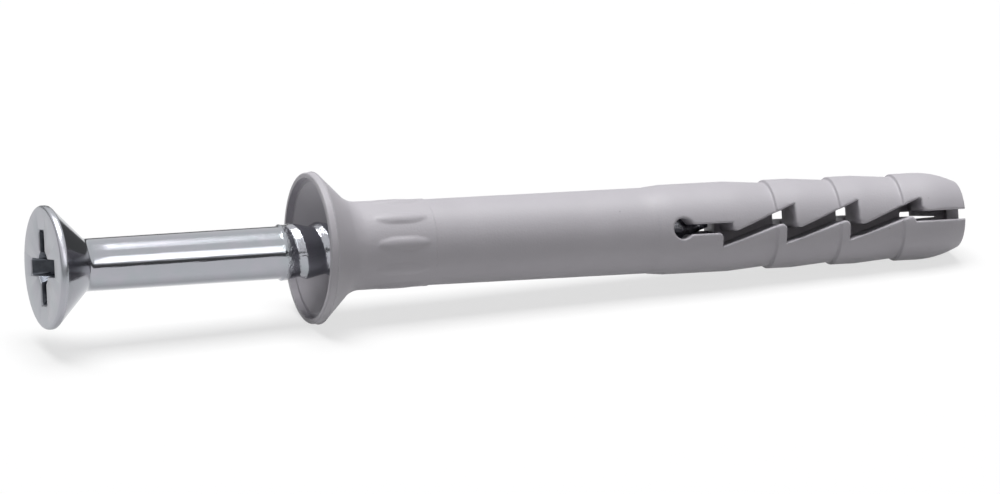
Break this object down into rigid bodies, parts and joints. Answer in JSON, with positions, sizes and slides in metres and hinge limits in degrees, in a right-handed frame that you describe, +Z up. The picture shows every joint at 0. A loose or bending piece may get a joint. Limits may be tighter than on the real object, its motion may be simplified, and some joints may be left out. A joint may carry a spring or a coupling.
{
  "type": "hammer fixing plug",
  "caption": "Grey moulded expansion sleeve with a countersunk collar, toothed split jaws and barbs, holding a zinc-plated cross-recess nail part-way driven.",
  "frame": {"origin": "on the surface the plug lies on, under the middle of its outer box", "axes": "+X along the plug from the nail's head to the sleeve's tip, +Z up; the axis dips about 3 degrees to the tip"},
  "size_m": [0.0562, 0.0088, 0.0089],
  "materials": {
    "sleeve_plastic": "satin moulded grey polyamide",
    "zinc_steel": "bright zinc plate"
  },
  "bodies": {
    "sleeve": {"sleeve": "sleeve_plastic"},
    "nail": {"nail": "zinc_steel"}
  },
  "joints": [
    {"name": "nail_drive", "type": "slide", "parent": "sleeve", "child": "nail", "axis": [0.9992, 0, -0.0404], "range_m": [0, 0.01643], "deforming": ["sleeve"]}
  ]
}
